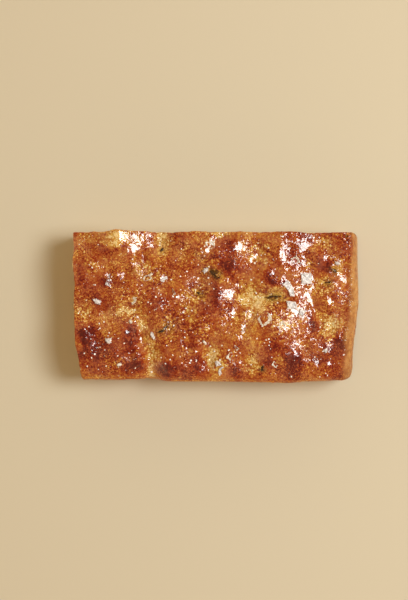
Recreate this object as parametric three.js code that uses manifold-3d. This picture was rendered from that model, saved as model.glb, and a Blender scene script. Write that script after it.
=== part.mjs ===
// A corner piece of focaccia, cut from a tray: one baked slab with finger dimples, blisters, flaky sea salt and
// rosemary leaves on its crust. Millimetres, +Z up, and the slab stands on its flat base at z = 0.
// +X runs along the slab to its baked end and -Y faces its baked front. The left and back walls are knife cuts.
import * as THREE from "three";
import { mergeVertices } from "three/addons/utils/BufferGeometryUtils.js";
import Module from "manifold-3d";

// Driving dimensions of the slab.
const LENGTH = 120; // between the left cut and the baked end, at the crust
const WIDTH = 62; // between the baked front and the back cut, at the crust
const THICKNESS = 27; // of the plain crust, before dimples and blisters
const FRONT_ROUND = 4.5; // radius of the baked front's shoulder
const END_ROUND_BACK = 1.5; // radius of the baked end's shoulder where the back cut crosses it
const END_ROUND_FRONT = 6.5; // and at the tray's corner
const CORNER_ROUND = 4; // the tray's own corner, in plan
const TRAY_ROUND = 1.5; // where the baked walls meet the base
const END_LEAN = 3.2; // how far the baked end's foot stands out past its shoulder
const FRONT_BULGE = 1.3; // how far the baked front swells between its foot and its shoulder
const CREST_DROP = 1.6; // how much lower the crust lies along its baked edges
const CREST_REACH = 9; // how far in from those edges that drop is felt
const GRID = 2; // spacing of the points on the crust
const WALL_STEPS = 8; // rows of points up a wall
const SKIRT = 2; // dough below the tray plane, which the flat cut of the base takes off

// What the fingers and the oven left on the crust: centre x, y, reach along x and y, and rise.
const DIMPLES = [
  [14, 3, 7, 8, -4.2],
  [25, 4, 6, 3, -3],
  [-3, -22, 4.5, 6, -3.6],
  [14, -25, 4, 5, -2],
  [47, -8, 6, 5, -3.4],
  [54, 17, 5, 6, -2],
  [43, 8, 6, 16, -1.7],
  [45, 28, 5, 4, -2],
  [17, 22, 4.5, 5, -2.2],
  [-23, 28, 5, 5, -4],
  [-6, 13, 5, 5, -2.6],
  [-11, -1, 5, 6, -2.6],
  [-33, 15, 5, 5, -2],
  [-56, 29, 5, 5, -2.6],
  [3, 31, 7, 2.5, -2],
  [-58, -2, 6, 4, -2.4],
  [-45, -3, 6, 3.5, -2.2],
  [-36, -1, 5, 4, -2.4],
  [-30, -10, 4, 6, -3],
  [-28, -20, 4, 6, -4],
  [-27.3, -30, 5, 6, -5.5],
];
const BLISTERS = [
  [-41.5, 29.5, 4.6, 4.6, 3],
  [-54, -11, 4.5, 4.5, 1.8],
  [-52, -20, 6, 5.5, 1.6],
  [-38, -12, 4.5, 5, 2.2],
  [-35, -24, 5, 4.5, 1.4],
  [-21, -26, 6, 4.5, 1.8],
  [-10, -24, 5, 6, 1],
  [-12, -15, 3.5, 2.5, 0.9],
  [-50, 9, 5, 5, 1.4],
  [-56, 17, 4, 6, 1],
  [-45, 22, 6, 5, 1.2],
  [2, 21, 7, 7, 2.6],
  [-8, 24, 3.5, 4, 1.2],
  [-37, 24, 5, 4, 1.3],
  [-10, 18, 4, 5, 1.2],
  [24, 12, 5, 4, 1.6],
  [2.4, 4, 4.5, 6, 2],
  [8, -14, 6, 5, 0.8],
  [24, -8, 10, 7, 1.9],
  [27, 4, 8, 12, 1],
  [31, -21, 5.5, 5.5, 2.4],
  [21, -22, 3.5, 5, 1.6],
  [41, -7, 2.6, 3, 1.5],
  [29, 25, 5, 8, 1.3],
  [44, 21, 4, 4, 1.8],
  [44, -22, 6, 5, 1],
  [50, 11, 3.5, 3.5, 1.2],
  [46, 1, 3.5, 3.5, 1.4],
  [53, 4, 3.5, 5, 0.8],
  [-24, 0, 8, 5, 0.7],
];

// Flaky salt: x, y, length, width, thickness, turn in degrees.
const SALT = [
  [39.2, 11.8, 4.9, 4.6, 0.9, 4],
  [31.8, 7.6, 7, 2.1, 0.9, 118],
  [33, 0.6, 4, 3.4, 0.8, 8],
  [21.8, -5.2, 5.2, 4.6, 0.7, 28],
  [-49.8, 2.4, 3.4, 2.4, 1.1, -12],
  [-45.4, 11.4, 5.4, 1.4, 0.7, 76],
  [-34.4, 3, 4, 2.3, 0.7, 62],
  [-21.4, 11.6, 3.4, 3.2, 0.6, 45],
  [-28.6, 12.2, 4, 2.6, 0.5, 24],
  [-45, -14.8, 2.4, 2.2, 0.9, 10],
  [-26, -12.4, 3.2, 1.4, 0.7, -58],
  [1.9, -24, 2, 1.9, 1.2, 30],
  [6.6, -20.6, 3.8, 3, 0.5, 58],
  [2.9, -27.2, 4.4, 1.4, 0.6, 72],
  [9.3, -17.4, 2.4, 1.2, 0.6, -55],
  [-4.4, -15.2, 3, 1.3, 0.6, -48],
  [-3.4, 15.8, 3.4, 1.9, 0.8, 34],
  [-1.6, 26.2, 3.6, 3.2, 0.5, 12],
  [34.6, 19.6, 3.8, 3.2, 0.6, 20],
  [37, -2.4, 3, 2.6, 0.7, -20],
  [28.6, -8, 3.4, 2.4, 0.5, 40],
  [52.4, 18.6, 2.4, 1.4, 0.7, 10],
  [47.6, -18.8, 1.9, 1.6, 0.9, 40],
  [-36, -6.6, 2.2, 1.4, 0.6, -65],
  [-40.4, -24.6, 2, 1.6, 0.6, 25],
  [12.6, -9.6, 2.6, 1.2, 0.6, 65],
  [-17.4, 6.4, 2.6, 1, 0.5, -70],
  [25.6, -24.4, 2.8, 1.8, 0.6, -30],
];

// Rosemary leaves, baked on with the bread: x, y, length, width, turn in degrees.
const ROSEMARY = [
  [0.6, 13.8, 5.2, 1.5, -36],
  [-22, -10, 4.6, 1.4, 38],
  [25.2, 3.8, 7.2, 1.6, 4],
  [-6.6, 5.6, 2.4, 1, -30],
  [20.6, -26, 3, 1.1, 72],
  [51, 15.2, 3, 1.5, -25],
  [48.6, 10.2, 3, 0.9, 6],
  [-22.4, 23.8, 2.4, 1, 60],
];
const LEAF_THICKNESS = 0.7;
const LEAF_BEVEL = 0.2;
const SALT_BEVEL = 0.18;
const CLEARANCE = 0.32; // air between the crust and what lies on it
const FOOTPRINT_STEPS = 4;

const degrees = THREE.MathUtils.degToRad;
const { smoothstep, lerp, clamp } = THREE.MathUtils;

function hump(x, y, [cx, cy, reachX, reachY, rise]) {
  return rise * Math.exp(-(((x - cx) / reachX) ** 2) - ((y - cy) / reachY) ** 2);
}

// Height of the crust over the tray, away from the shoulders.
function crustHeight(x, y) {
  const inFromEnd = Math.max(0, LENGTH / 2 - x);
  const inFromFront = Math.max(0, y + WIDTH / 2);
  const crest = Math.exp(-inFromEnd / CREST_REACH) + Math.exp(-inFromFront / CREST_REACH);
  const marks = [...DIMPLES, ...BLISTERS].reduce((sum, mark) => sum + hump(x, y, mark), 0);
  return THICKNESS - CREST_DROP * Math.min(1, crest) + marks;
}

// Turns the square rim between two faces into a quarter round. a and b are distances in from the two faces.
function roundRim(a, b, radius) {
  if (a >= radius || b >= radius) return [a, b];
  const p = radius - a;
  const q = radius - b;
  const scale = Math.max(p, q) / Math.hypot(p, q);
  return [radius - p * scale, radius - q * scale];
}

// How far each wall stands from its straight line, in plan.
function frontLine(x) {
  const lobe = -1.2 * Math.exp(-(((x - 29) / 14) ** 2));
  const shortLobe = 1.3 * smoothstep(-x, 22, 33);
  const notch = 2.2 * Math.exp(-(((x + 27.3) / 3.4) ** 2));
  return lobe + shortLobe + notch;
}
function backLine(x) {
  const blister = 1 * Math.exp(-(((x + 41.5) / 4) ** 2));
  const sag = -0.7 * Math.exp(-(((x + 22) / 10) ** 2));
  return blister + sag + 0.4;
}
function leftLine(y) {
  return 0.3 + 2.7 * smoothstep(-y, 10, 29);
}
function endLine(y) {
  return 0.6 * Math.exp(-(((y - 4) / 9) ** 2)) - 1.8 * smoothstep(-y, 4, 24);
}

// Moves one point of the plain block to its place on the baked slab.
function bakePoint(point) {
  let end = LENGTH / 2 - point.x;
  let front = point.y + WIDTH / 2;
  let depth = THICKNESS - point.z;
  const endRound = lerp(END_ROUND_FRONT, END_ROUND_BACK, clamp(front / WIDTH, 0, 1));
  [end, front] = roundRim(end, front, CORNER_ROUND);
  [end, depth] = roundRim(end, depth, endRound);
  [front, depth] = roundRim(front, depth, FRONT_ROUND);
  const nearFoot = THICKNESS - depth;
  end = roundRim(end, Math.max(0, nearFoot), TRAY_ROUND)[0];
  front = roundRim(front, Math.max(0, nearFoot), TRAY_ROUND)[0];

  const height = clamp(1 - depth / THICKNESS, 0, 1);
  let x = LENGTH / 2 - end;
  let y = front - WIDTH / 2;
  const toFront = clamp(0.5 - y / WIDTH, 0, 1);
  const toEnd = clamp(0.5 + x / LENGTH, 0, 1);
  const swell = FRONT_BULGE * Math.sin(Math.PI * height);
  const dx = endLine(y) * toEnd ** 3 + END_LEAN * (1 - height) * toEnd ** 6 + leftLine(y) * (1 - toEnd) ** 3;
  const dy = (frontLine(x) * height - swell) * toFront ** 3 + backLine(x) * height * (1 - toFront) ** 3;
  x += dx;
  y += dy;
  const relief = (crustHeight(x, y) - THICKNESS) * height ** 2;
  return new THREE.Vector3(x, y, THICKNESS - depth + relief);
}

const wasm = await Module();
wasm.setup();

function toSolid(geometry) {
  const bare = new THREE.BufferGeometry();
  bare.setAttribute("position", geometry.getAttribute("position"));
  bare.setIndex(geometry.index);
  const merged = mergeVertices(bare, 1e-4);
  const vertProperties = new Float32Array(merged.getAttribute("position").array);
  const triVerts = new Uint32Array(merged.index.array);
  return new wasm.Manifold(new wasm.Mesh({ numProp: 3, vertProperties, triVerts }));
}

function toGeometry(solid) {
  const { vertProperties, triVerts } = solid.getMesh();
  const geometry = new THREE.BufferGeometry();
  geometry.setAttribute("position", new THREE.BufferAttribute(vertProperties, 3));
  geometry.setIndex(new THREE.BufferAttribute(triVerts, 1));
  geometry.computeVertexNormals();
  return geometry;
}

// The bread: a block pressed into shape, with its base cut flat on the tray plane.
function breadGeometry() {
  const block = new THREE.BoxGeometry(
    LENGTH, WIDTH, THICKNESS + SKIRT,
    Math.round(LENGTH / GRID), Math.round(WIDTH / GRID), WALL_STEPS,
  );
  block.translate(0, 0, (THICKNESS - SKIRT) / 2);
  const position = block.getAttribute("position");
  for (let i = 0; i < position.count; i += 1) {
    const point = new THREE.Vector3().fromBufferAttribute(position, i);
    const baked = bakePoint(point);
    position.setXYZ(i, baked.x, baked.y, baked.z);
  }
  const tray = new THREE.BoxGeometry(LENGTH * 2, WIDTH * 2, SKIRT * 4);
  tray.translate(0, 0, -SKIRT * 2);
  return toGeometry(toSolid(block).subtract(toSolid(tray)));
}

// A salt flake: a thin crystal plate with bevelled rims, a little out of square.
function saltGeometry(length, width, thickness) {
  const [a, b] = [length / 2 - SALT_BEVEL, width / 2 - SALT_BEVEL];
  const outline = new THREE.Shape();
  outline.moveTo(-a, -b * 0.86);
  outline.lineTo(a * 0.9, -b);
  outline.lineTo(a, b * 0.8);
  outline.lineTo(a * 0.55, b);
  outline.lineTo(-a * 0.94, b * 0.92);
  outline.closePath();
  const bevel = { bevelEnabled: true, bevelSize: SALT_BEVEL, bevelThickness: SALT_BEVEL, bevelSegments: 1 };
  const plate = new THREE.ExtrudeGeometry(outline, { depth: thickness - 2 * SALT_BEVEL, steps: 1, ...bevel });
  return plate.translate(0, 0, SALT_BEVEL);
}

// A rosemary leaf: a narrow blade, pointed at both ends.
function leafGeometry(length, width) {
  const [a, b] = [length / 2 - LEAF_BEVEL, width / 2 - LEAF_BEVEL];
  const outline = new THREE.Shape();
  outline.moveTo(-a, 0);
  outline.bezierCurveTo(-a * 0.6, -b * 1.3, a * 0.6, -b * 1.3, a, 0);
  outline.bezierCurveTo(a * 0.6, b * 1.3, -a * 0.6, b * 1.3, -a, 0);
  const bevel = { bevelEnabled: true, bevelSize: LEAF_BEVEL, bevelThickness: LEAF_BEVEL, bevelSegments: 1 };
  const depth = LEAF_THICKNESS - 2 * LEAF_BEVEL;
  const blade = new THREE.ExtrudeGeometry(outline, { depth, steps: 1, curveSegments: 5, ...bevel });
  return blade.translate(0, 0, LEAF_BEVEL);
}

// Lays a mesh flat on the slope of the crust under it, clear of every point of the crust beneath it.
function layOnCrust(mesh, x, y, length, width, turn) {
  const reach = Math.max(1, Math.hypot(length, width) / 4);
  const slopeX = (crustHeight(x + reach, y) - crustHeight(x - reach, y)) / (2 * reach);
  const slopeY = (crustHeight(x, y + reach) - crustHeight(x, y - reach)) / (2 * reach);
  const normal = new THREE.Vector3(-slopeX, -slopeY, 1).normalize();
  let lift = -Infinity;
  for (let i = -FOOTPRINT_STEPS; i <= FOOTPRINT_STEPS; i += 1) {
    for (let j = -FOOTPRINT_STEPS; j <= FOOTPRINT_STEPS; j += 1) {
      const along = (i / FOOTPRINT_STEPS) * (length / 2);
      const across = (j / FOOTPRINT_STEPS) * (width / 2);
      const dx = along * Math.cos(turn) - across * Math.sin(turn);
      const dy = along * Math.sin(turn) + across * Math.cos(turn);
      lift = Math.max(lift, crustHeight(x + dx, y + dy) - slopeX * dx - slopeY * dy);
    }
  }
  mesh.position.set(x, y, lift + CLEARANCE);
  mesh.quaternion.setFromUnitVectors(new THREE.Vector3(0, 0, 1), normal);
  mesh.rotateZ(turn);
}

function numbered(name, index) {
  return `${name}_${String(index + 1).padStart(2, "0")}`;
}

const crust = new THREE.MeshStandardMaterial({ color: 0xae5f2c, roughness: 0.35, metalness: 0 });
const salt = new THREE.MeshStandardMaterial({ color: 0xf2ede4, roughness: 0.2, metalness: 0 });
const rosemary = new THREE.MeshStandardMaterial({ color: 0x3a3a1c, roughness: 0.4, metalness: 0 });

const focaccia = new THREE.Group();

const bread = new THREE.Mesh(breadGeometry(), crust);
bread.name = "bread";
focaccia.add(bread);

SALT.forEach(([x, y, length, width, thickness, turn], index) => {
  const flake = new THREE.Mesh(saltGeometry(length, width, thickness), salt);
  flake.name = numbered("salt_flake", index);
  layOnCrust(flake, x, y, length, width, degrees(turn));
  focaccia.add(flake);
});

ROSEMARY.forEach(([x, y, length, width, turn], index) => {
  const leaf = new THREE.Mesh(leafGeometry(length, width), rosemary);
  leaf.name = numbered("rosemary_leaf", index);
  layOnCrust(leaf, x, y, length, width, degrees(turn));
  focaccia.add(leaf);
});

// The origin is the middle of the footprint, on the base.
const bounds = new THREE.Box3().setFromObject(focaccia, true);
const middle = bounds.getCenter(new THREE.Vector3());
focaccia.position.set(-middle.x, -middle.y, -bounds.min.z);

export default focaccia;
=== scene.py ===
# %% [markdown]
# # A corner piece of focaccia
#
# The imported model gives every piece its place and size, in metres: one slab of bread, the flakes of salt on
# it and the bits of rosemary. This lesson remakes each of them as it looks: the bread as a field of numbers
# that is baked, blistered, cut and then turned into a surface, and the toppings as small meshes laid on
# that crust.

import math

import bpy
import numpy as np
import openvdb
from mathutils import Matrix, Vector
from mathutils.bvhtree import BVHTree


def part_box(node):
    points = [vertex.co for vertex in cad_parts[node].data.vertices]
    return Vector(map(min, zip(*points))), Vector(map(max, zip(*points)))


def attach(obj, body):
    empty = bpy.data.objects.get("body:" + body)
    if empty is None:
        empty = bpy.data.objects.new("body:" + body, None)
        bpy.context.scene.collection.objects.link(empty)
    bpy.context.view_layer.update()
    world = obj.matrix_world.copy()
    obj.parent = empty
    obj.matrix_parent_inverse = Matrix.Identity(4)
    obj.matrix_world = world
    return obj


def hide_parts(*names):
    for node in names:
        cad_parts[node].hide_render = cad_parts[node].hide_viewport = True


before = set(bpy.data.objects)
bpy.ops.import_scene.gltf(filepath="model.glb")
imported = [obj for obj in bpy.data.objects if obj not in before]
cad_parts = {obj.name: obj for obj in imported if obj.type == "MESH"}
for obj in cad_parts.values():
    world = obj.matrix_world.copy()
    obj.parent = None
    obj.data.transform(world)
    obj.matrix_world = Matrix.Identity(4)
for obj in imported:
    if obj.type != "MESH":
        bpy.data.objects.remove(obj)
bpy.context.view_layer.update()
MM = 0.001
slab_low, slab_high = (np.array(corner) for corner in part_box("bread"))
print("the slab measures, in mm:", np.round((slab_high - slab_low) / MM, 1))

# %% [markdown]
# ## Camera, light and table
#
# The piece lies on a pale table and is seen from straight above through a long lens, which keeps its walls
# nearly out of sight. The light is a window's: one big soft lamp to the right, brighter in its middle, and
# a warm room around it that fills the shadows. A sun lamp would be simpler, but its reflection in oil is a
# pinprick. A big lamp's reflection is what shows every wrinkle of an oiled crust.

# %% Camera
LENS = 99 * MM
SENSOR = 36 * MM
VIEW_HEIGHT = 254.4 * MM  # what the long side of the frame takes in, at the height of the crust
AIM = Vector((-6.4 * MM, 3.1 * MM, slab_high[2]))  # the piece lies a little right of and below the middle

camera_data = bpy.data.cameras.new("overhead_camera")
camera_data.lens = LENS / MM
camera_data.sensor_width = SENSOR / MM
camera = bpy.data.objects.new("overhead_camera", camera_data)
camera.location = AIM + Vector((0, 0, LENS * VIEW_HEIGHT / SENSOR))
bpy.context.scene.collection.objects.link(camera)
bpy.context.scene.camera = camera
print("the camera stands", round(camera.location.z, 3), "m above the table")

# %% Colours and nodes
def hex_to_linear(code):
    """An sRGB hex colour, such as "C8923C", as the linear RGBA that Blender's sockets hold."""
    channels = [int(code[i : i + 2], 16) / 255 for i in (0, 2, 4)]
    linear = [c / 12.92 if c <= 0.04045 else ((c + 0.055) / 1.055) ** 2.4 for c in channels]
    return (*linear, 1.0)


def set_inputs(node, inputs):
    """Sets a node's inputs, by name or in order, to values or to the sockets of other nodes."""
    for key, value in inputs.items() if isinstance(inputs, dict) else enumerate(inputs):
        if isinstance(value, bpy.types.NodeSocket):
            node.id_data.links.new(value, node.inputs[key])
        else:
            node.inputs[key].default_value = value


def add_node(tree, kind, inputs=(), output=0, stops=(), **settings):
    """Adds a node with its inputs, its ramp's stops and its own settings, and gives one of its outputs."""
    node = tree.nodes.new("ShaderNode" + kind)
    for key, value in settings.items():
        setattr(node, key, value)
    set_inputs(node, inputs)
    elements = node.color_ramp.elements if stops else ()
    while len(elements) < len(stops):
        elements.new(0.5)
    for element, (place, shade) in zip(elements, stops):  # a place, and a linear or an sRGB hex colour
        element.position = place
        element.color = hex_to_linear(shade) if isinstance(shade, str) else shade
    return node.outputs[output]


print("middle grey, linear:", round(hex_to_linear("808080")[0], 3))

# %% The window
WINDOW_TURN, WINDOW_LIFT = 101, 60  # degrees round from the front, and up from the table
PALE_DAYLIGHT = "F5FBFC"


def add_lamp(name, azimuth, elevation, distance, size, power, colour):
    """A square soft lamp. Azimuth 0 stands at -Y and 90 at +X."""
    lamp_data = bpy.data.lights.new(name, "AREA")
    lamp_data.shape = "SQUARE"
    lamp_data.size = size
    lamp_data.energy = power
    lamp_data.color = hex_to_linear(colour)[:3]
    lamp = bpy.data.objects.new(name, lamp_data)
    turn, lift = math.radians(azimuth), math.radians(elevation)
    towards = Vector((math.sin(turn) * math.cos(lift), -math.cos(turn) * math.cos(lift), math.sin(lift)))
    lamp.location = towards * distance
    lamp.rotation_euler = towards.to_track_quat("Z", "Y").to_euler()
    bpy.context.scene.collection.objects.link(lamp)


for name, distance, size, power in (("window", 1.1, 0.46, 9.0), ("window_centre", 1.09, 0.2, 1.4)):
    add_lamp(name, WINDOW_TURN, WINDOW_LIFT, distance, size, power, PALE_DAYLIGHT)
print("lamps:", [lamp.name for lamp in bpy.data.lights])

# %% The room
ROOM_LEVELS = ((0.0, 1.0), (0.5, 1.8), (0.62, 1.45), (0.8, 0.5), (1.0, 0.14))  # from below to above
ROOM_WARMTH = (1, 0.73, 0.42)  # warm walls and wood

world = bpy.data.worlds.new("warm_room")
world.use_nodes = True
room = world.node_tree
direction = add_node(room, "TexCoord", output="Generated")
height = add_node(room, "SeparateXYZ", (direction,), output="Z")
share = add_node(room, "MapRange", {"Value": height, "From Min": -1})
levels = [(place, (*(level * tint for tint in ROOM_WARMTH), 1)) for place, level in ROOM_LEVELS]
warmth = add_node(room, "ValToRGB", (share,), stops=levels)
set_inputs(room.nodes["Background"], {"Color": warmth})
bpy.context.scene.world = world
bpy.context.scene.view_settings.view_transform = "Standard"
print("room nodes:", len(room.nodes))

# %% Table
TABLE_GAP = 0.1 * MM  # below the base, so that the two faces don't flicker through each other


def new_material(name):
    """A material with an empty tree but for its shader and output."""
    material = bpy.data.materials.new(name)
    material.use_nodes = True
    return material, material.node_tree, material.node_tree.nodes["Principled BSDF"]


table_material, _, table_shader = new_material("pale_table")
set_inputs(table_shader, {"Base Color": hex_to_linear("CABEA6"), "Roughness": 0.85})
bpy.ops.mesh.primitive_plane_add(size=6, location=(0, 0, -TABLE_GAP))
table = bpy.context.object
table.name = "table"
table.data.materials.append(table_material)
print("table:", table.name)

# %% [markdown]
# ## The slab as a field of numbers
#
# Bread is a foam: a crust that is all small bumps, and walls whose bubbles the knife has opened, with
# undercuts that no displaced surface can have. So the slab is worked as a grid of numbers, one every half
# millimetre or so, that are negative inside the bread and positive outside it. Baking, cutting and bubbles
# are then plain arithmetic on that grid, and OpenVDB, which comes with Blender, turns the zero level into a
# mesh at the end. The walls' and the crust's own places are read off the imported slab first, so that every
# later step starts from its real size.

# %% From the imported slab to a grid
PITCH = 0.45  # mm between the grid's points
BAND = 6.0  # mm each side of the surface where distances are kept
slab_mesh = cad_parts["bread"].data
corners = np.array([vertex.co for vertex in slab_mesh.vertices], np.float32) / MM
slab_mesh.calc_loop_triangles()
triangles = np.array([triangle.vertices for triangle in slab_mesh.loop_triangles], np.uint32)
spacing = openvdb.createLinearTransform(voxelSize=PITCH)
distance_grid = openvdb.FloatGrid.createLevelSetFromPolygons(
    corners, triangles=triangles, transform=spacing, halfWidth=BAND / PITCH
)
grid_low, grid_high = distance_grid.evalActiveVoxelBoundingBox()
distance = np.zeros([high - low + 1 for low, high in zip(grid_low, grid_high)], np.float32)
distance_grid.copyToArray(distance, ijk=grid_low)
solid = tuple(np.arange(low, high + 1) * PITCH for low, high in zip(grid_low, grid_high))
xs, ys, zs = solid
plan = xs, ys
print("grid points:", distance.shape)

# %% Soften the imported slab's flat facets
def soften(field, passes):
    """Blurs a field by about 0.7 grid steps for one pass, growing with the square root of the passes."""
    for _ in range(passes):
        for axis in range(field.ndim):
            padded = np.pad(field, [(1, 1) if a == axis else (0, 0) for a in range(field.ndim)], "edge")
            before = np.take(padded, range(0, field.shape[axis]), axis)
            after = np.take(padded, range(2, field.shape[axis] + 2), axis)
            field = (before + 2 * field + after) / 4
    return field


FACET_PASSES = 5
distance = soften(distance, FACET_PASSES)
print("distances, mm:", round(float(distance.min()), 1), "to", round(float(distance.max()), 1))

# %% The six faces of the slab
def face_along(axis, last):
    """Where the slab ends along an axis, for each line of the grid that runs that way; NaN off the slab."""
    inside = np.moveaxis(distance, axis, -1) < 0
    values = np.moveaxis(distance, axis, -1)
    places = solid[axis]
    if last:
        inside, values, places = inside[..., ::-1], values[..., ::-1], places[::-1]
    hit = inside.argmax(-1)
    before = np.maximum(hit - 1, 0)
    inner = np.take_along_axis(values, hit[..., None], -1)[..., 0]
    outer = np.take_along_axis(values, before[..., None], -1)[..., 0]
    share = inner / np.where(inner == outer, 1, inner - outer)
    where = places[hit] + share * (places[before] - places[hit])
    return np.where(inside.any(-1), where, np.nan)


def spread_out(face):
    """Fills a face's NaN places from their known neighbours, ring after ring."""
    while np.isnan(face).any():
        padded = np.pad(face, 1, constant_values=np.nan)
        around = np.stack((padded[:-2, 1:-1], padded[2:, 1:-1], padded[1:-1, :-2], padded[1:-1, 2:]))
        known = np.maximum((~np.isnan(around)).sum(0), 1)
        mean = np.where(np.isnan(around).all(0), np.nan, np.nansum(around, 0) / known)
        face = np.where(np.isnan(face), mean, face)
    return face


left_cut = face_along(0, last=False)
back_cut = face_along(1, last=True)
front_wall = face_along(1, last=False)
end_wall = face_along(0, last=True)
crust = face_along(2, last=True)
print("walls and crust read")

# %% Each face on its own, past its edges
EDGE = 1.5  # mm of each face, next to a cut, that the softening has rounded off
CORNER = 6.0  # mm of each face, next to a baked wall, that the tray's round corner takes
SHOULDER = 20.0  # mm above the base: over it, the crust alone makes the shape

middle_row = len(zs) // 2
left_line = spread_out(left_cut)[:, middle_row]
back_line = spread_out(back_cut)[:, middle_row]
near_left = xs < left_line.max() + EDGE
near_back = ys > back_line.min() - EDGE
near_front = ys < slab_low[1] / MM + CORNER
near_end = xs > slab_high[0] / MM - CORNER
usable = (zs > EDGE) & (zs < SHOULDER)

off_cut = (xs[:, None] < left_line[None, :] + EDGE) | (ys[None, :] > back_line[:, None] - EDGE)
crust = spread_out(np.where(off_cut | (crust < SHOULDER), np.nan, crust))
left_cut = spread_out(np.where((near_back | near_front)[:, None] | ~usable, np.nan, left_cut))
back_cut = spread_out(np.where((near_left | near_end)[:, None] | ~usable, np.nan, back_cut))
front_wall = spread_out(np.where(near_left[:, None] | (zs > SHOULDER), np.nan, front_wall))
end_wall = spread_out(np.where(near_back[:, None] | (zs > SHOULDER), np.nan, end_wall))
print("crust height, mm:", round(float(crust.min()), 1), "to", round(float(crust.max()), 1))

# %% [markdown]
# ## Smooth random fields
#
# Real crust is uneven at every size: the fingers' dimples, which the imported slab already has, then lumps a
# few millimetres wide where gas lifted the skin, and a fine sandy grain. Each size is a smooth random field
# of its own. The fields are built from splines over a coarse grid of random numbers, which is quick and has
# no direction to it.

# %% Smooth random fields
def cloud(axes, size, seed):
    """A smooth random field over a grid, with lumps about size mm across and a spread of 1."""
    weights = []
    for places in axes:
        at = (places - places[0]) / size
        cell = np.floor(at).astype(int)
        t = at - cell
        weight = np.zeros((len(places), cell.max() + 4))
        spline = ((1 - t) ** 3, 3 * t**3 - 6 * t**2 + 4, -3 * t**3 + 3 * t**2 + 3 * t + 1, t**3)
        for k, share in enumerate(spline):
            weight[np.arange(len(places)), cell + k] = share / 6
        weights.append(weight)
    field = np.random.default_rng(seed).normal(size=[weight.shape[1] for weight in weights])
    for weight in weights:
        field = np.tensordot(field, weight, axes=(0, 1))
    return field / field.std()


def ease(low, high, value):
    """0 below low, 1 above high, and smooth between them."""
    t = np.clip((value - low) / (high - low), 0, 1)
    return t * t * (3 - 2 * t)


print("the spread of a field over the crust:", round(float(cloud(plan, 4.5, seed=11).std()), 2))

# %% [markdown]
# ## Where the crust browned
#
# Focaccia browns in patches: steam lifts pale golden blisters, ridges between the dimples scorch, and the
# herb's oil turns its surroundings olive. Noise alone would put such patches anywhere, so they are listed,
# each a soft oval spot with a place, a reach each way and a strength. Wandering the coordinates gives
# every spot a frayed outline.

# %% Golden, dark and green spots
GOLDEN_SPOTS = (  # x, y, reach along x, reach along y, all mm, and how much paler
    (-42.8, 29.6, 5.8, 4, 0.46), (-56, 30.5, 3.5, 2.2, 0.22), (-59.5, 25, 1.4, 4, 0.14),
    (-24, 29, 3.6, 4.2, 0.38), (-24, 22.5, 2, 3, 0.14), (-8.5, 21.5, 2.6, 3, 0.22), (0.5, 31, 5, 1.4, 0.26),
    (45.5, 27.5, 4, 4, 0.24), (16.5, 24, 2.6, 5.5, 0.16), (-32, 16, 4.4, 4, 0.16),
    (-28, 12.5, 2.4, 1.6, 0.14), (51.8, 17.5, 2.6, 3.2, 0.26), (45, 9, 4.4, 4, 0.16),
    (-54, 15, 1.8, 4.5, 0.14), (-11.5, 5, 5, 4, 0.2), (-13, -2.5, 2.4, 4, 0.16), (12, 5, 4.4, 4.6, 0.34),
    (18.5, 2.5, 4.6, 3.4, 0.4), (25.5, 5, 4, 2.8, 0.22), (12.5, -4, 4, 5, 0.24), (-57.5, -2.5, 3, 3, 0.22),
    (-52, -5, 4, 1.6, 0.12), (-39.5, -1.5, 6, 4, 0.2), (-33, -7.5, 2.6, 3.4, 0.24),
    (-28.5, -17, 3, 6.5, 0.2), (-29, -25, 1.6, 3.5, 0.3), (-28.8, -28.5, 2.4, 3, 0.3),
    (-22, -6, 4.4, 3, 0.18), (-20.5, -14, 2, 4.4, 0.16), (-3, -21.5, 3.6, 5.6, 0.36),
    (1.5, -23.5, 1.4, 2, 0.2), (13.5, -23, 3.2, 4.6, 0.24), (10, -12, 9, 5, 0.08), (48, -8, 5, 4.6, 0.32),
    (56, -5, 1.6, 9, 0.12), (-43.5, -23.2, 3, 1.8, 0.16), (25.4, -23, 1.8, 2.8, 0.26),
    (-4.5, -5.5, 3, 2.2, 0.14), (29, -7, 5, 4, 0.18), (38, 17, 2, 2.4, 0.16), (-35, 4, 3, 2, 0.14),
    (-16, 27, 3.5, 3, 0.13), (49, 20, 3, 4, 0.13), (4, 12, 5, 2.8, 0.12), (-8, -9.5, 4, 2.8, 0.16),
    (24, -6, 4, 5, 0.14), (-12, -1, 4, 3, 0.08), (-31, -12.5, 3, 4.5, 0.1), (-41, -2, 3, 3, 0.1),
    (-24, 18, 4, 3, 0.06),
)
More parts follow.
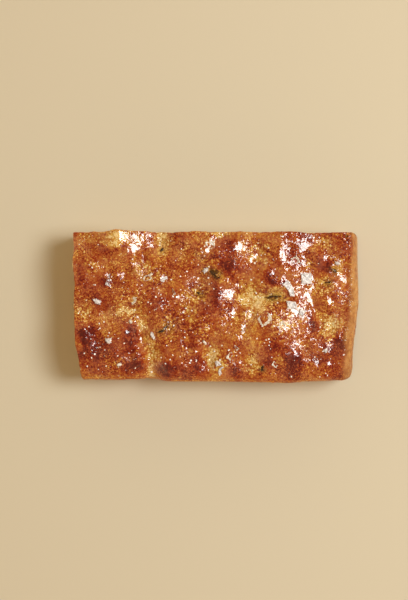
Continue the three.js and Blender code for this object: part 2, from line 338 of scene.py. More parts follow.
DARK_SPOTS = (  # the same, and how much browner
    (-55.5, -11, 4.4, 4.6, 0.32), (-53.5, -19.5, 5, 4.6, 0.26), (-38, -12.5, 3.8, 6, 0.36),
    (-36, -24.5, 4.6, 3.4, 0.24), (-47, -19, 6, 6, 0.12), (-47.5, 10, 6, 2.4, 0.2), (-50, 3, 5.5, 3, 0.16),
    (-58.4, 16, 1.6, 8, 0.14), (-47.5, 25.5, 3.4, 4, 0.22), (-41.5, 25, 5, 1.2, 0.24),
    (-26, 0, 5, 4.4, 0.14), (-20.5, -26.5, 6, 3, 0.3), (-8.5, -24, 2.8, 5, 0.22),
    (-12.5, -15.5, 2.8, 1.8, 0.26), (8, -26, 2.4, 3, 0.24), (3.5, 26, 4.4, 3.4, 0.24), (4, 18, 4.6, 4, 0.26),
    (10, 30, 1.8, 2, 0.14), (-1, 5.5, 2.8, 6.5, 0.26), (-5.5, -1.5, 3.4, 2, 0.16), (4.2, -2, 1.4, 2, 0.2),
    (22, 13.5, 3.6, 3.6, 0.24), (25, 9.6, 3.8, 1.7, 0.4), (44, 18, 3.6, 5, 0.16), (54, 28, 4.5, 3, 0.08),
    (40.6, -7.8, 2.9, 3.6, 0.4), (26, -16.5, 3.4, 2.6, 0.22), (21, -22, 2.6, 5, 0.26),
    (31.5, -23, 4.6, 6, 0.32), (43, -23, 2.6, 2, 0.22), (53.2, -14, 2.4, 2.6, 0.24), (50, 4.6, 2.2, 2, 0.2),
    (36.5, 30.5, 4, 1.6, 0.18), (-10, 14, 2, 6, 0.14), (-18, -3, 1.6, 4, 0.12), (-22, 17, 5, 5, 0.08),
    (-18, 30, 5, 2, 0.1), (49, -20, 4.5, 7, 0.1), (-58, -16, 1.6, 8, 0.14), (-56, 12, 4, 9, 0.1),
    (-49, 12, 3, 3, 0.12), (-8, 22, 4, 4.5, 0.12), (36, 27, 5, 4, 0.1), (25, 12, 4, 3, 0.08),
    (41, 15, 3, 5, 0.08), (40, -2, 2.4, 3, 0.16), (8, -9, 4, 3, 0.1), (8, -16, 4.4, 3.6, 0.18),
    (-17, -19, 4, 5, 0.14), (40, -22, 3, 3.4, 0.14), (24, -23, 3, 4, 0.1), (56, -14, 2, 9, 0.14),
    (8, -23, 3, 3, 0.08), (-52, -27, 8, 3, 0.14), (-22, -27, 4, 2.4, 0.1),
)
GREEN_SPOTS = (  # the same, and how far the herb's oil turned the crust olive
    (-24, 28, 3, 4.4, 0.5), (12, 5.5, 3.6, 3.6, 0.35), (25, 5, 3.6, 2.6, 0.55), (-8.3, 21.5, 2.2, 2.6, 0.5),
    (-21.5, -8.5, 3.2, 3.2, 0.5), (-8, 5, 2.2, 2.2, 0.4), (51.5, 16.2, 1.7, 1.7, 0.5),
    (-0.5, 14.6, 2.6, 2.2, 0.5), (-42, 29, 4, 2.6, 0.2), (38, 17, 1.8, 2, 0.4), (1, 31, 4, 1.2, 0.3),
)
print("spots:", len(GOLDEN_SPOTS), "golden,", len(DARK_SPOTS), "dark,", len(GREEN_SPOTS), "green")

# %% The spots as maps over the crust
def spots(settings):
    """The sum of spots with wandering outlines, as a map over the crust."""
    wander_x = xs[:, None] + 0.6 * cloud(plan, 3, seed=61) + 0.45 * cloud(plan, 1.4, seed=62)
    wander_y = ys[None, :] + 0.6 * cloud(plan, 3, seed=63) + 0.45 * cloud(plan, 1.4, seed=64)
    total = np.zeros((len(xs), len(ys)))
    for x, y, reach_x, reach_y, amount in settings:
        away = ((wander_x - x) / reach_x) ** 2 + ((wander_y - y) / reach_y) ** 2
        total += amount * np.exp(-(away**1.4))
    return total


golden = 1.2 * spots(GOLDEN_SPOTS)
browned = 1.25 * spots(DARK_SPOTS)
greened = spots(GREEN_SPOTS)
print("strongest golden and dark spot:", round(float(golden.max()), 2), round(float(browned.max()), 2))

# %% [markdown]
# ## Oil on the slopes
#
# Oil shines only where the crust leans just so between the window and the eye. Some slopes round the
# dimples do, and oil has gathered there; others lean away and stay dull. The lean that glints follows from
# where the lamp and the camera stand, as in a mirror, so these places are listed too, and the crust is
# tilted to that lean or away from it. The glints are then real reflections, which move when the light does.

# %% Wet and dull slopes
WET_SLOPES = (  # x, y, reach along x, reach along y, all mm, and how much oil lies there
    (-34.9, 28.2, 1, 1.6, 0.5), (-36, 24.6, 1.5, 1.9, 0.6), (-29, 28, 1.4, 3.4, 0.1),
    (-2.6, 29, 1.8, 2.4, 0.3), (-4.8, 24, 1.3, 1.6, 0.8), (8.6, 25, 1.6, 3, 1), (14.2, 20.2, 2.5, 2.3, 0.95),
    (16, 24, 1.6, 3, 0), (27.2, 22.4, 1.4, 3.2, 0.9), (35.6, 25.6, 2, 2.8, 0.5), (33, 17, 1.4, 2.6, 0.4),
    (-8.8, 12.2, 1.3, 1, 0.8), (4.6, 5.8, 3, 2.8, 1), (8, 9, 1.2, 1.4, 0.3), (6.2, -2.2, 1.4, 2, 0.9),
    (10.8, -8, 1, 2.4, 0.1), (33.8, -2.4, 4, 4.6, 0.45), (34, 6, 2.4, 4, 0.15), (30, -7.5, 3.4, 2.8, 0.5),
    (37.4, -10.8, 1.6, 2, 0.7), (34, -15, 2.6, 2.4, 0.55), (32.4, -19.2, 1.1, 2.2, 0.4),
    (47.3, 2.3, 1, 2, 0.2), (39.8, 0.5, 0.9, 2.4, 0.3), (47.4, -15.2, 1.5, 2.4, 0.6),
    (52.2, -10.4, 0.9, 2.8, 0.2), (53.6, 11.2, 2, 2, 0.7), (-4.6, -23.6, 1.1, 3.2, 0.4),
    (-6, -15.2, 2, 1.1, 0.1), (9.4, 3.6, 1.3, 2, 0.6), (21.4, -4.4, 1.8, 1.8, 0.1), (25.5, -8, 2.8, 3, 0.55),
    (13, -3, 2, 2.4, 0.3), (47, -8.6, 1.2, 2, 0.35), (-24, 12.4, 1.4, 1.4, 0.4),
)
DULL_SLOPES = (  # the same, without oil: places that face away from the window
    (-15, -3, 4, 4), (-42, 12, 4, 3), (-46.6, 14.4, 3, 4), (-38, 14.4, 2.6, 3), (-50, 12, 2, 3),
    (54.5, -1, 2.5, 4), (-10, -12.5, 2.5, 3), (-35, -20.5, 2.5, 4), (-38, -22.5, 2.5, 3.5), (52, -21, 3, 5),
    (-55.5, 19, 2, 3), (21, 14, 3, 2), (-36, 14.5, 3, 2), (-19, -6, 3, 3.5), (-32, -14, 2, 4),
    (56, 15, 1.6, 6), (-50, -11, 4, 4), (-49, -19, 3, 3), (12, -11.5, 3, 3.5), (31.6, 26, 1.4, 3.4),
    (30.5, 14, 2, 3.4), (40.6, 21, 2, 5), (4.4, 19, 3, 4), (46, -21, 4, 3), (38.5, -16.5, 2, 4),
    (-11, -19, 1.8, 5), (-31, 24, 1.6, 4), (-40, 24, 1.6, 3), (42.4, 4, 2.6, 6), (26.4, 15, 2.4, 2.6),
    (49, 21, 4, 4), (-13, -14, 2, 3), (47, 16, 2.4, 3), (-52, 12, 3, 4), (49, -21, 3, 3), (43, -23.6, 2, 2),
)
print("slopes:", len(WET_SLOPES), "wet,", len(DULL_SLOPES), "dull")

# %% The lean that glints
def glint_slope(x, y):
    """The slope of a crust that mirrors the window into the camera from a place in plan, in mm."""
    towards_lamp = bpy.data.objects["window"].location.normalized()
    towards_eye = (camera.location - Vector((x, y, slab_high[2] / MM)) * MM).normalized()
    halfway = towards_lamp + towards_eye
    return -halfway.x / halfway.z, -halfway.y / halfway.z


def tilt_towards(surface, places, share):
    """Tilts places of a surface to a share of the glinting slope: 1 mirrors the window, under 0 is dull."""
    for x, y, reach_x, reach_y, *_ in places:
        want_x, want_y = glint_slope(x, y)
        dx, dy = xs[:, None] - x, ys[None, :] - y
        spread = (dx / reach_x) ** 2 + (dy / reach_y) ** 2
        core = np.exp(-2 * spread)
        slope_x, slope_y = ((slope * core).sum() / core.sum() for slope in np.gradient(surface, PITCH))
        lean = (share * want_x - slope_x) * dx + (share * want_y - slope_y) * dy
        surface = surface + lean / (1 + (spread / 1.7) ** 2)
    return surface


print("in the middle, the crust glints at a slope of", [round(lean, 2) for lean in glint_slope(0, 0)])

# %% Lumps, pools and tilted slopes
pooled = np.zeros_like(crust)
for x, y, reach_x, reach_y, amount in WET_SLOPES:
    away = ((xs[:, None] - x) / reach_x) ** 2 + ((ys[None, :] - y) / reach_y) ** 2
    pooled = np.maximum(pooled, amount * np.exp(-(away**2)))
lumps = 0.15 * cloud(plan, 4.5, seed=11) + 0.06 * cloud(plan, 2.2, seed=12)
crust = crust + lumps * (1 - 0.8 * pooled)
for _ in range(2):  # twice, because neighbours disturb each other
    crust = tilt_towards(tilt_towards(crust, DULL_SLOPES, share=-0.3), WET_SLOPES, share=1.0)
print("crust under oil, percent:", round(100 * float((pooled > 0.5).mean()), 1))

# %% [markdown]
# ## Blisters and grain
#
# Steam lifts the skin in small domes, rounder and steeper than noise is, so they are scattered one by one.
# One big blister caught and burnt, and its skin fell in as a ring. Over everything goes a sandy grain,
# which oil levels out in the dimples. In the golden parts the dough stands up in little beads, which the
# material draws later on.

# %% Blisters
def offsets_from(x, y, turn):
    """How far each point of the crust lies from a place, along a direction in plan and across it, in mm."""
    dx, dy = xs[:, None] - x, ys[None, :] - y
    c, s = math.cos(turn), math.sin(turn)
    return dx * c + dy * s, dy * c - dx * s


def blister_domes(count, radius, height, seed):
    """The heights, in mm, of small domes scattered over the crust; where two meet, the higher one shows."""
    rng = np.random.default_rng(seed)
    raised = np.zeros((len(xs), len(ys)))
    for _ in range(count):
        x, y = rng.uniform(xs[0], xs[-1]), rng.uniform(ys[0], ys[-1])
        r = rng.uniform(*radius)
        stretch, turn = rng.uniform(0.7, 1), rng.uniform(0, math.pi)
        along, across = offsets_from(x, y, turn)
        u, v = along / r, across / (r * stretch)
        dome = np.maximum(0, 1 - u * u - v * v) ** 1.5 * rng.uniform(*height)
        raised = np.maximum(raised, dome)
    return raised


blisters = blister_domes(150, radius=(0.8, 2.4), height=(0.1, 0.4), seed=4)
print("highest blister, mm:", round(float(blisters.max()), 2))

# %% The burnt blister, and the marks of the oven together
BURNT_X, BURNT_Y, BURNT_RADIUS, BURNT_HEIGHT = 40.8, -7.8, 2.6, 0.7  # mm

from_burnt = np.hypot(xs[:, None] - BURNT_X, ys[None, :] - BURNT_Y) / BURNT_RADIUS
fallen_ring = 0.7 * np.exp(-(((from_burnt - 0.5) / 0.14) ** 2))
blisters += BURNT_HEIGHT * (np.maximum(0, 1 - from_burnt**2) ** 0.8 - fallen_ring)
dimpled = ease(0.5, 2.5, soften(crust, 60) + 0.5 - crust)  # 1 in the dimples
sand = 0.035 * cloud(plan, 0.95, seed=13)
beading = ease(0.02, 0.22, golden - 0.6 * browned + 0.05 * cloud(plan, 5, seed=14) + 0.04)
crust_marks = (blisters + sand * (1 - 0.5 * dimpled)) * (1 - 0.8 * pooled)
print("crust marks, mm:", round(float(crust_marks.min()), 2), "to", round(float(crust_marks.max()), 2))

# %% [markdown]
# ## The walls
#
# Two walls baked against the tray: they have soft lumps, level creases where the dough slid, and small
# burst pits. The other two are knife cuts, nearly flat, with a long knife's faint waves. The front edge is
# pinched in at one place, and a golden blister hangs over the back cut.

# %% Baked walls and knife cuts
def wall_marks(places, seed):
    """Lumps, level creases and small burst pits on a wall that baked against the tray, in mm."""
    face = (places, zs)
    lumps = 0.14 * cloud(face, 6, seed) + 0.08 * cloud(face, 2, seed + 1)
    stretched = (places / 5, zs)
    creases = 0.35 * np.maximum(0, 0.35 - abs(cloud(stretched, 2.2, seed + 2)))
    pits = 0.5 * np.maximum(0, cloud(face, 1.3, seed + 3) - 1.5)
    return lumps - creases - pits


def swell(middle, reach):
    """1 at a place along x, falling off smoothly over a reach each way, in mm."""
    return np.exp(-(((xs - middle) / reach) ** 2))


notch = 1.6 * np.outer(swell(-29, 1.7), ease(8, 20, zs))  # mm that the front edge is pinched in
overhang = 0.8 * np.outer(swell(-42.6, 4), ease(14, 22, zs))  # mm that a blister hangs over the back cut
drawn_in = 1.2 * ease(-27, -32, xs) - 0.25 * swell(31, 9)  # mm that the front draws in, or below 0, sags

front_marks = notch - wall_marks(xs, seed=210) + drawn_in[:, None]
end_marks = wall_marks(ys, seed=230)
left_marks = -0.4 + 0.22 * cloud((ys, zs), 7, seed=25) + 0.1 * cloud((ys, zs), 1.4, seed=26)
back_marks = 0.6 + 0.22 * cloud((xs, zs), 7, seed=27) + 0.1 * cloud((xs, zs), 1.4, seed=28) + overhang
print("the front wall draws in by up to, mm:", round(float(front_marks.max()), 1))

# %% What is baked, and what the knife leaves
skin_top = crust + crust_marks
skin_front = front_wall + front_marks
skin_end = end_wall + end_marks
X, Y, Z = np.meshgrid(xs, ys, zs, indexing="ij", sparse=True)
past_front = skin_front[:, None, :] - Y
past_end = X - skin_end[None, :, :]
baked = np.maximum(Z - skin_top[:, :, None], past_front)
baked = np.maximum(np.maximum(baked, past_end), -Z)
to_wall = np.minimum(-past_front, -past_end)
rim_limit = distance - 0.3 - 3 * ease(2, 5, to_wall)  # by the walls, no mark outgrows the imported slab's rim
cut = np.maximum((left_cut + left_marks)[None, :, :] - X, Y - (back_cut + back_marks)[:, None, :])
print("grid points inside the bread:", int((np.maximum(np.maximum(baked, rim_limit), cut) < 0).sum()))

# %% [markdown]
# ## The crumb
#
# A knife through focaccia opens bubbles of every size, from pinholes to holes as wide as a finger nail, a
# little flattened and squeezed out of round by their neighbours. Here each bubble is an ellipsoid that the
# cut must cross. The big ones are placed first, the small ones where there is still room, and all are bent
# by a smooth random field, so no two look alike. They stay clear of the crust, which is dense.

# %% Bubbles across the two cuts
CRUST_THICKNESS = 1.3  # of dense dough under the baked skin; this and the radii are in mm
BUBBLE_SIZES = ((3.6, 14), (2.6, 46), (1.8, 170), (1.25, 560), (0.85, 1300), (0.6, 1500))  # radius; tries
CROWDING = 0.93  # under 1, neighbours break into one another


def place_bubbles(seed):
    """Centres and radii of bubbles that cross the left or the back cut, in mm."""
    rng = np.random.default_rng(seed)
    length, depth, _ = slab_high - slab_low
    left_area = depth / (depth + length)
    centres, radii = np.zeros((0, 3)), np.zeros((0, 3))
    for size, tries in BUBBLE_SIZES:
        for _ in range(tries):
            on_left = rng.random() < left_area
            r = size * rng.uniform(0.8, 1.2)
            z = rng.uniform(CRUST_THICKNESS + r * 0.6, slab_high[2] / MM - CRUST_THICKNESS)
            row = int((z - zs[0]) / PITCH)
            inwards = rng.uniform(-0.35, 0.8) * r
            off_wall = BAND + 1.5 + 1.4 * r
            if on_left:
                y = rng.uniform(ys[0] + off_wall + 2, ys[-1] - BAND)
                x = left_cut[int((y - ys[0]) / PITCH), row] + inwards
            else:
                x = rng.uniform(xs[0] + BAND, xs[-1] - off_wall - 3)
                y = back_cut[int((x - xs[0]) / PITCH), row] - inwards
            centre = np.array((x, y, z))
            cell = tuple(int((value - places[0]) / PITCH) for value, places in zip(centre, solid))
            if -baked[cell] < CRUST_THICKNESS + 0.75 * r:
                continue  # it would break through the crust
            gaps = np.linalg.norm(centres - centre, axis=1)
            if len(radii) and (gaps < CROWDING * (radii.mean(1) + r)).any():
                continue  # there is no room for it
            shape = r * np.array((rng.uniform(0.85, 1.3), rng.uniform(0.85, 1.3), rng.uniform(0.7, 1.05)))
            centres, radii = np.vstack((centres, centre)), np.vstack((radii, shape))
    return centres, radii


centres, radii = place_bubbles(seed=31)
print("bubbles opened by the knife:", len(centres))
print("their widths, mm:", round(2 * float(radii.min()), 1), "to", round(2 * float(radii.max()), 1))

# %% Hollow them out
def reached(value, reach, places):
    """The part of one axis of the grid that a bubble can reach, with room for its bend."""
    first, last = ((value + side * (reach + 1.5) - places[0]) / PITCH for side in (-1, 1))
    return slice(max(0, int(first)), min(len(places), int(last) + 2))


bend = [0.32 * cloud(solid, 2.4, seed) + 0.16 * cloud(solid, 1.3, seed + 5) for seed in (41, 42, 43)]
hollow = np.full(distance.shape, BAND)
for centre, shape in zip(centres, radii):
    spans = tuple(reached(*one_axis) for one_axis in zip(centre, shape, solid))
    grid = np.meshgrid(*(places[span] for places, span in zip(solid, spans)), indexing="ij", sparse=True)
    offsets = [(grid[axis] + bend[axis][spans] - centre[axis]) / shape[axis] for axis in range(3)]
    out = (np.sqrt(sum(offset**2 for offset in offsets)) - 1) * shape.min()
    hollow[spans] = np.minimum(hollow[spans], out)
print("grid points inside bubbles:", int((hollow < 0).sum()))

# %% One body
LIP = 0.22  # mm over which a bubble's rim is rounded

body = np.maximum(np.maximum(baked, rim_limit), cut)
mix = np.clip(0.5 + 0.5 * (body + hollow) / LIP, 0, 1)
body = body * mix - hollow * (1 - mix) + LIP * mix * (1 - mix)
print("grid points left:", int((body < 0).sum()))

# %% From the field to a surface
ADAPT = 0.02  # how far flat places may be drawn with fewer, larger faces

baked_grid = openvdb.FloatGrid(BAND)
baked_grid.copyFromArray(np.clip(body, -BAND, BAND).astype(np.float32), ijk=grid_low)
baked_grid.transform = spacing
points, threes, fours = baked_grid.convertToPolygons(0.0, ADAPT)
print("points", len(points), "triangles", len(threes), "quads", len(fours))

# %% Only the outer shell
def shell_of(count, faces_by_size):
    """For each point, the lowest numbered point that faces join it to: one number for each shell."""
    shell = np.arange(count)
    while True:
        before = shell.copy()
        for faces in faces_by_size:
            lowest = shell[faces].min(1)
            for column in faces.T:
                np.minimum.at(shell, column, lowest)
        shell = shell[shell]
        if (shell == before).all():
            return shell


shell = shell_of(len(points), (threes, fours))
outside = shell == np.bincount(shell).argmax()  # the rest line bubbles that the knife never reached
new_place = np.cumsum(outside) - 1
points = np.asarray(points)[outside]
points[np.abs(points[:, 2]) < 0.3 * PITCH, 2] = 0  # a flat base to lie on
faces = [face for sides in (fours, threes) for face in new_place[sides[outside[sides[:, 0]]]].tolist()]
print("closed bubbles left out:", len(np.unique(shell)) - 1)

# %% The bread's mesh
def mesh_from(name, points_mm, faces):
    """A smooth-shaded object from points in mm and a list of faces."""
    data = bpy.data.meshes.new(name)
    data.from_pydata((np.asarray(points_mm) * MM).tolist(), [], faces)
    data.update()
    data.shade_smooth()
    piece = bpy.data.objects.new(name, data)
    bpy.context.scene.collection.objects.link(piece)
    return piece


bread = mesh_from("baked_bread", points, faces)
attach(bread, "root")
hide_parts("bread")
print("bread faces:", len(bread.data.polygons))

# %% [markdown]
# ## What each point of the bread knows about its baking
#
# The colour of bread follows its baking. High spots brown first, dimples stay golden under their oil, the
# walls that touched the tray are paler, and the crumb, a millimetre or two under the skin, hardly colours.
# Each of these is a number at each point of the mesh, which the material reads as an attribute.

# %% How deep under the skin
def read(values, places, at):
    """The value of a grid of numbers at scattered points, blended from the grid points around each."""
    cells, shares = [], []
    for along, axis in zip(at, places):
        position = np.clip((along - axis[0]) / PITCH, 0, len(axis) - 1.001)
        cells.append(position.astype(int))
        shares.append(position - cells[-1])
    total = 0
    for steps in np.ndindex((2,) * len(places)):
        weight = 1
        for step, share in zip(steps, shares):
            weight = weight * (share if step else 1 - share)
        total = total + weight * values[tuple(cell + step for cell, step in zip(cells, steps))]
    return total


px, py, pz = points.T
under_crust = read(skin_top, plan, (px, py)) - pz
under_front = py - read(skin_front, (xs, zs), (px, pz))
under_end = read(skin_end, (ys, zs), (py, pz)) - px
skin_depth = np.minimum(np.minimum(under_crust, under_front), np.minimum(under_end, pz))
skin_depth = np.minimum(skin_depth, 3 * np.maximum(0, -read(rim_limit, solid, (px, py, pz))))
print("deepest crumb, mm:", round(float(skin_depth.max()), 1))

# %% [markdown]
# ## Stains round the rosemary
#
# Rosemary gives up its oil in the oven, and the crust round each leaf turns olive. A stain is an ellipse a
# little wider than its leaf, frayed by noise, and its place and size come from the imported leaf, so that the
# two agree.

# %% Where rosemary stained the crust
def lie_of(node):
    """A packed topping's middle, length, width and turn in plan, in mm and radians."""
    flat = np.array([vertex.co[:2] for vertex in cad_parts[node].data.vertices]) / MM
    middle = (flat.min(0) + flat.max(0)) / 2
    turns = np.radians(np.arange(0, 180, 2))
    axes = np.stack((np.cos(turns), np.sin(turns)))
    lengths = np.ptp((flat - middle) @ axes, axis=0)
    widths = np.roll(lengths, -45)  # 45 steps of 2 degrees on, the line stands square to the length
    best = np.argmin(lengths * widths - 0.02 * lengths)  # the tightest box, long side first
    return middle, lengths[best], widths[best], turns[best]


leaf_nodes = sorted(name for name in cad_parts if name.startswith("rosemary_leaf"))
stain = np.zeros_like(crust)
for node in leaf_nodes:
    (x, y), length, width, turn = lie_of(node)
    along, across = offsets_from(x, y, turn)
    away = (along / (length / 2 + 1.1)) ** 2 + (across / (width / 2 + 1.3)) ** 2
    stain = np.maximum(stain, np.exp(-(away**1.5)))
stain = np.clip(stain * ease(-1.2, 0.6, cloud(plan, 1.3, seed=57)) + greened, 0, 1)
print("stained crust, percent:", round(100 * float((stain > 0.5).mean()), 1))

# %% [markdown]
# ## Browning, walls and oil
#
# What stands out browns more, at the size of the dimples and again at the size of a blister, and the listed
# spots are laid over that. The crust turns over into the walls in a wandering line, since no tray leaves a
# straight one. The walls are paler, and their foot, where the tray was hottest, a little browner. Oil
# gathers in the dimples and in drifts. The walls got none.

# %% How brown the crust is
MIDDLE_BROWN = 0.635  # on the crust's scale from pale, 0, to burnt, 1

rise = crust - soften(crust, 130)
fine_rise = crust_marks - soften(crust_marks, 12)
browning = MIDDLE_BROWN + 0.06 * rise + 0.15 * fine_rise - 1.15 * golden + browned - 0.08 * pooled
for size, amount, seed in ((7, 0.04, 51), (2.6, 0.04, 52), (1.1, 0.03, 53)):
    browning += amount * cloud(plan, size, seed)
print("browning:", round(float(browning.min()), 2), "to", round(float(browning.max()), 2))

# %% Where the crust turns into wall
END_LINE = 54.6  # mm along x where the crust turns down at the end
END_LEAN = 0.075  # mm that this line moves along x for each mm along y

wall_depth = read(soften(crust, 2), plan, (px, py)) - pz
end_reach = px - END_LINE - END_LEAN * py
end_reach += 0.5 * read(cloud(plan, 5, seed=56), plan, (px, py))
tide = 1.8 * read(cloud(plan, 7, seed=58), plan, (px, py))
on_end = ease(-0.8, 1.8, end_reach)
on_wall = np.maximum(ease(13, 19, wall_depth + tide), on_end) * (skin_depth < 1.5)
open_crust = 0.3 + 0.7 * ease(9, 4, wall_depth)
print("points on the baked walls, percent:", round(100 * float((on_wall > 0.5).mean()), 1))

# %% How brown the walls are, and how dry
wall_baking = 0.3 * ease(5, 0.5, wall_depth) * (1 - on_end)
wall_baking += 0.35 * ease(4.5, 0.5, pz)
wall_baking += on_end * (0.2 + 0.14 * ease(6, -12, py))
rim_share = ease(8, 2, np.minimum(under_front, under_end))
dry = 0.8 * np.maximum(on_wall, rim_share)
print("wall baking:", round(float(wall_baking.min()), 2), "to", round(float(wall_baking.max()), 2))

# %% Where oil lies
oil_drifts = 0.35 * cloud(plan, 6, seed=54) + 0.3 * cloud(plan, 2.2, seed=55)
oil = ease(-0.5, 1.8, oil_drifts + 0.3 * dimpled + 1.6 * pooled)
print("oil, on average:", round(float(oil.mean()), 2))

# %% Store it at the points
def store(name, values):
    """Keeps one number for each point of the bread, which a material reads by name."""
    layer = bread.data.attributes.new(name, "FLOAT", "POINT")
    layer.data.foreach_set("value", np.asarray(values, np.float32))


store("skin_depth", skin_depth)
store("on_wall", on_wall)
store("wall_baking", wall_baking)
store("dry", dry)
store("open_crust", open_crust)
store("beading", read(beading, plan, (px, py)) * open_crust)
for name, crust_map in (("browning", browning), ("oil", oil), ("stain", stain)):
    store(name, read(crust_map, plan, (px, py)))
print("stored:", [layer.name for layer in bread.data.attributes if layer.data_type == "FLOAT"])

# %% [markdown]
# ## Crust and crumb
#
# One material covers the slab, because it is one baked body: wheat dough, browned in olive oil. Browning is
# one scale from pale to burnt, so one ramp of shades follows it, amber first, then red-brown. The baked
# walls, the stains of the herb and the crumb have ramps of their own, and the stored numbers say which ramp
# a point follows. To the eye, the crust is grainy under a thin wet film, while the crumb is dry and a
# little see-through.

# %% Shades
CRUST_SHADES = (  # from pale to burnt
    (0.0, "F4D495"), (0.1, "DFB35C"), (0.22, "D29A3C"), (0.34, "C4812E"), (0.44, "B86D2A"),
    (0.53, "AD5C22"), (0.65, "9F4410"), (0.78, "8D2C04"), (0.9, "781800"), (1.0, "5A0D00"),
)
WALL_SHADES = ((0.0, "DCB47A"), (0.3, "CB9B60"), (0.55, "B78047"), (0.78, "975A2C"), (1.0, "6C3417"))
CRUMB_SHADES = ((0.0, "A06029"), (0.22, "C99452"), (0.45, "E2BF84"), (1.0, "F1DCB2"))  # inwards
STAIN_SHADES = ((0.0, "DDB25C"), (0.25, "CC9636"), (0.45, "A8742A"), (0.62, "7A4C18"), (1.0, "3A200C"))
print("shades of crust:", len(CRUST_SHADES))

# %% Grain
def lumps_of(size_mm, detail=3.0, roughness=0.55):
    """The inputs of a noise whose lumps have a real size in mm."""
    return {"Scale": 1 / (size_mm * MM), "Detail": detail, "Roughness": roughness}


bread_material, tree, shader = new_material("oiled_wheat_crust")
here = add_node(tree, "TexCoord", output="Object")
stored = {
    name: add_node(tree, "Attribute", output="Fac", attribute_name=name)
    for name in (
        "skin_depth", "browning", "beading", "stain", "oil", "open_crust", "on_wall", "wall_baking", "dry",
    )
}
speckle = add_node(tree, "TexNoise", {"Vector": here, **lumps_of(1.6, detail=4, roughness=0.6)})
speckle = add_node(tree, "Math", (speckle, 0.5, -0.25), operation="MULTIPLY_ADD")
print("crust grain:", len(tree.nodes), "nodes")

# %% [markdown]
# ## Sandy crust and painted glint specks
#
# Where the dough fried, its sugar set as a sandy, two-toned grain, finer than half a millimetre on the real
# crust. It is drawn a little coarser than that, or it would melt into one brown. It comes and goes in
# drifts a centimetre wide, and with it come pale specks painted into the colour: painted highlights for the
# oil's tiniest glints. Both fade towards the walls.

# %% Sandy grain
sandy = add_node(tree, "TexNoise", {"Vector": here, **lumps_of(0.55, detail=1)})
sandy = add_node(tree, "Math", (sandy, 0.5), operation="SUBTRACT")
drifts = add_node(tree, "TexNoise", {"Vector": here, **lumps_of(11, detail=1)})
drifts = add_node(tree, "Math", (drifts, 4.2, -1.15), operation="MULTIPLY_ADD")
drifts = add_node(tree, "Math", (drifts, stored["open_crust"]), operation="MULTIPLY")
sandy = add_node(tree, "Math", (sandy, drifts), operation="MULTIPLY")
# pale specks painted into the colour: painted highlights that stand in for the oil's tiniest glints
painted_glint_dots = add_node(tree, "TexNoise", {"Vector": here, **lumps_of(0.85, detail=1)})
painted_glint_dots = add_node(tree, "MapRange", {"Value": painted_glint_dots, "From Min": 0.6, "From Max": 0.68})
painted_glint_dots = add_node(tree, "Math", (painted_glint_dots, stored["open_crust"]), operation="MULTIPLY")
sandy = add_node(tree, "Math", (painted_glint_dots, -0.26, sandy), operation="MULTIPLY_ADD")
print("with the sandy grain:", len(tree.nodes), "nodes")

# %% Beads of dough
BEAD = 1.15  # mm between the little beads of dough that stand up in the golden parts
BEAD_HEIGHT = 0.24  # mm

wander = add_node(tree, "TexNoise", {"Vector": here, **lumps_of(0.9)}, output="Color")
wander = add_node(tree, "VectorMath", {0: wander, "Scale": 1.0 * MM}, operation="SCALE")
bent = add_node(tree, "VectorMath", (here, wander), operation="ADD")
bead = add_node(tree, "TexVoronoi", {"Vector": bent, "Scale": 1 / (BEAD * MM)})
dome_range = {"Value": bead, "From Min": 0.7, "From Max": 0.15}
dome = add_node(tree, "MapRange", dome_range, interpolation_type="SMOOTHSTEP")
own_tone = add_node(tree, "SeparateXYZ", (bead.node.outputs["Color"],), output="X")
own_tone = add_node(tree, "Math", (0.5, own_tone), operation="SUBTRACT")
tone_reach = add_node(tree, "Math", (stored["beading"], 0.36, 0.14), operation="MULTIPLY_ADD")
own_tone = add_node(tree, "Math", (own_tone, tone_reach), operation="MULTIPLY")
# painted shade: darker in the gaps between the beads and paler on their tops, as light falls on them
painted_bead_shade = add_node(tree, "Math", (0.6, dome), operation="SUBTRACT")
bead_shade_reach = add_node(tree, "Math", (stored["beading"], 0.27, 0.05), operation="MULTIPLY_ADD")
painted_bead_shade = add_node(tree, "Math", (painted_bead_shade, bead_shade_reach), operation="MULTIPLY")
print("with the beads:", len(tree.nodes), "nodes")

# %% Where the oil film lies
wet = add_node(tree, "TexNoise", {"Vector": here, **lumps_of(1.0, detail=2)})
wet = add_node(tree, "Math", (stored["oil"], 0.35, wet), operation="MULTIPLY_ADD")
wet = add_node(tree, "MapRange", {"Value": wet, "From Min": 0.56, "From Max": 0.58, "To Min": 0.06})
print("with the film's flecks:", len(tree.nodes), "nodes")

# %% How brown, all together
brown = add_node(tree, "Math", (speckle, sandy), operation="ADD")
brown = add_node(tree, "Math", (stored["browning"], brown), operation="ADD")
brown = add_node(tree, "Math", (wet, -0.14, brown), operation="MULTIPLY_ADD")
# the painted bead shade, and each bead's own random tone
tones = add_node(tree, "Math", (painted_bead_shade, own_tone), operation="ADD")
brown = add_node(tree, "Math", (brown, tones), operation="ADD", use_clamp=True)
wall_brown = add_node(tree, "TexNoise", {"Vector": here, **lumps_of(6, detail=5, roughness=0.65)})
wall_brown = add_node(tree, "Math", (wall_brown, 1.3, -0.33), operation="MULTIPLY_ADD")
wall_brown = add_node(tree, "Math", (wall_brown, stored["wall_baking"]), operation="ADD")
wall_brown = add_node(tree, "Math", (wall_brown, speckle), operation="ADD", use_clamp=True)
print("with the browning:", len(tree.nodes), "nodes")

# %% Crust, stain and wall colours
SHEEN_TAN = "BC8060"  # painted sheen: a pinkish tan laid over the brown here and there, as a broad soft gleam
